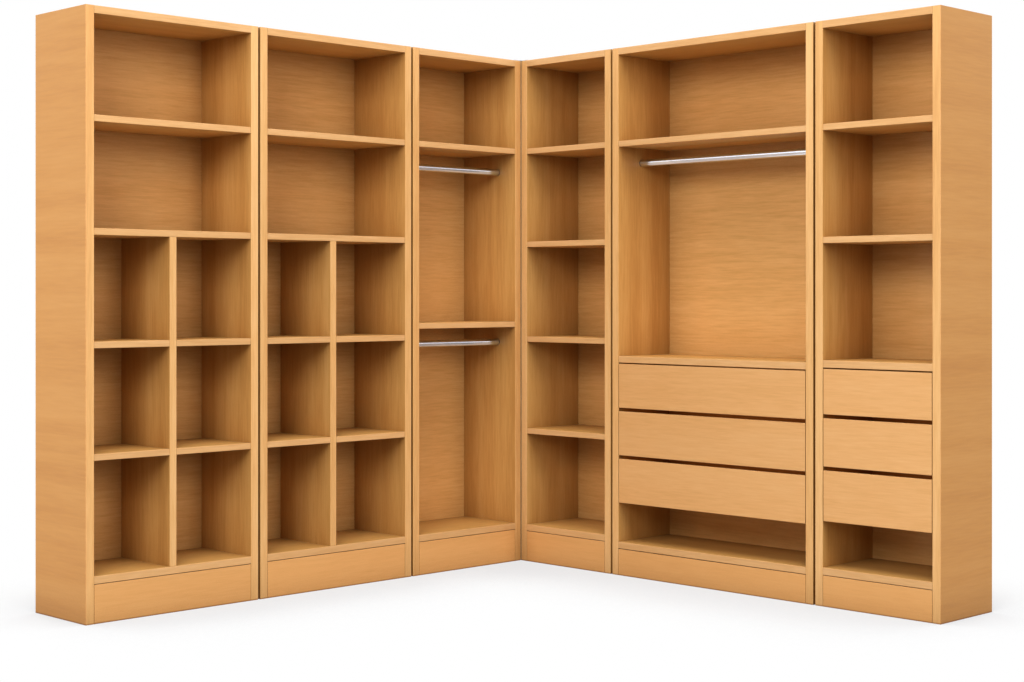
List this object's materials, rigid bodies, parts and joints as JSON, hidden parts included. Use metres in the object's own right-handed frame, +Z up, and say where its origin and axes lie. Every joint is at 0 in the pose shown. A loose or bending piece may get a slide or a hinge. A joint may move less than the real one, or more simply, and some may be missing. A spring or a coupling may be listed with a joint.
{
  "type": "corner wardrobe",
  "caption": "Open L-shaped corner wardrobe in wood veneer: bays of shelves, cubbies and hanging rails, with inset drawers that slide out on runners.",
  "frame": {"origin": "on the floor, under the middle of the plan's bounding box", "axes": "+Z up; the left run stands along Y with its fronts facing +X, the right run stands along X with its fronts facing -Y, and the room's corner is at -X and +Y"},
  "size_m": [2.462, 2.522, 2.23],
  "materials": {
    "carcass_veneer": "honey beech veneer, satin lacquer, matching edge band",
    "shelf_veneer": "honey beech veneer, satin lacquer, matching edge band",
    "back_veneer": "honey beech veneer with level grain, satin lacquer",
    "plinth_veneer": "honey beech veneer with level grain, satin lacquer",
    "drawer_front_veneer": "honey beech veneer with level grain, satin lacquer",
    "drawer_box_wood": "pale birch board, clear lacquer",
    "bare_timber": "sawn softwood, unfinished",
    "rail_chrome": "bright chrome plate",
    "plug_plastic": "dark grey moulded plastic",
    "zinc_steel": "bright zinc plate"
  },
  "bodies": {
    "carcass": {"outer_cubby_bay_side_panels": "carcass_veneer", "outer_cubby_bay_top": "carcass_veneer", "outer_cubby_bay_base": "carcass_veneer", "outer_cubby_bay_shelves": "shelf_veneer", "left_run_back_panels": "back_veneer", "left_run_plinths": "plinth_veneer", "plinth_blocks": "bare_timber", "wall_brackets": "zinc_steel", "outer_cubby_bay_divider": "shelf_veneer", "outer_cubby_bay_cubby_shelves": "shelf_veneer", "joining_bolts": "zinc_steel", "joining_plates": "zinc_steel", "inner_cubby_bay_side_panels": "carcass_veneer", "inner_cubby_bay_top": "carcass_veneer", "inner_cubby_bay_base": "carcass_veneer", "inner_cubby_bay_shelves": "shelf_veneer", "inner_cubby_bay_divider": "shelf_veneer", "inner_cubby_bay_cubby_shelves": "shelf_veneer", "hanging_bay_side_panels": "carcass_veneer", "hanging_bay_top": "carcass_veneer", "hanging_bay_base": "carcass_veneer", "hanging_bay_shelves": "shelf_veneer", "hanging_bay_rails": "rail_chrome", "rail_end_plugs": "plug_plastic", "corner_shelf_bay_side_panels": "carcass_veneer", "corner_shelf_bay_top": "carcass_veneer", "corner_shelf_bay_base": "carcass_veneer", "corner_shelf_bay_shelves": "shelf_veneer", "right_run_back_panels": "back_veneer", "right_run_plinths": "plinth_veneer", "wide_drawer_bay_side_panels": "carcass_veneer", "wide_drawer_bay_top": "carcass_veneer", "wide_drawer_bay_base": "carcass_veneer", "wide_drawer_bay_shelves": "shelf_veneer", "wide_drawer_bay_rails": "rail_chrome", "drawer_runner_channels": "zinc_steel", "end_drawer_bay_side_panels": "carcass_veneer", "end_drawer_bay_top": "carcass_veneer", "end_drawer_bay_base": "carcass_veneer", "end_drawer_bay_shelves": "shelf_veneer", "corner_post": "bare_timber"},
    "wide_top_drawer": {"wide_top_drawer_front": "drawer_front_veneer", "wide_top_drawer_box": "drawer_box_wood", "wide_top_drawer_sliders": "zinc_steel"},
    "wide_middle_drawer": {"wide_middle_drawer_front": "drawer_front_veneer", "wide_middle_drawer_box": "drawer_box_wood", "wide_middle_drawer_sliders": "zinc_steel"},
    "wide_bottom_drawer": {"wide_bottom_drawer_front": "drawer_front_veneer", "wide_bottom_drawer_box": "drawer_box_wood", "wide_bottom_drawer_sliders": "zinc_steel"},
    "end_top_drawer": {"end_top_drawer_front": "drawer_front_veneer", "end_top_drawer_box": "drawer_box_wood", "end_top_drawer_sliders": "zinc_steel"},
    "end_middle_drawer": {"end_middle_drawer_front": "drawer_front_veneer", "end_middle_drawer_box": "drawer_box_wood", "end_middle_drawer_sliders": "zinc_steel"},
    "end_bottom_drawer": {"end_bottom_drawer_front": "drawer_front_veneer", "end_bottom_drawer_box": "drawer_box_wood", "end_bottom_drawer_sliders": "zinc_steel"}
  },
  "joints": [
    {"name": "wide_top_drawer_slide", "type": "slide", "parent": "carcass", "child": "wide_top_drawer", "axis": [0, -1, 0], "range_m": [0, 0.21]},
    {"name": "wide_middle_drawer_slide", "type": "slide", "parent": "carcass", "child": "wide_middle_drawer", "axis": [0, -1, 0], "range_m": [0, 0.21]},
    {"name": "wide_bottom_drawer_slide", "type": "slide", "parent": "carcass", "child": "wide_bottom_drawer", "axis": [0, -1, 0], "range_m": [0, 0.21]},
    {"name": "end_top_drawer_slide", "type": "slide", "parent": "carcass", "child": "end_top_drawer", "axis": [0, -1, 0], "range_m": [0, 0.21]},
    {"name": "end_middle_drawer_slide", "type": "slide", "parent": "carcass", "child": "end_middle_drawer", "axis": [0, -1, 0], "range_m": [0, 0.21]},
    {"name": "end_bottom_drawer_slide", "type": "slide", "parent": "carcass", "child": "end_bottom_drawer", "axis": [0, -1, 0], "range_m": [0, 0.21]}
  ]
}
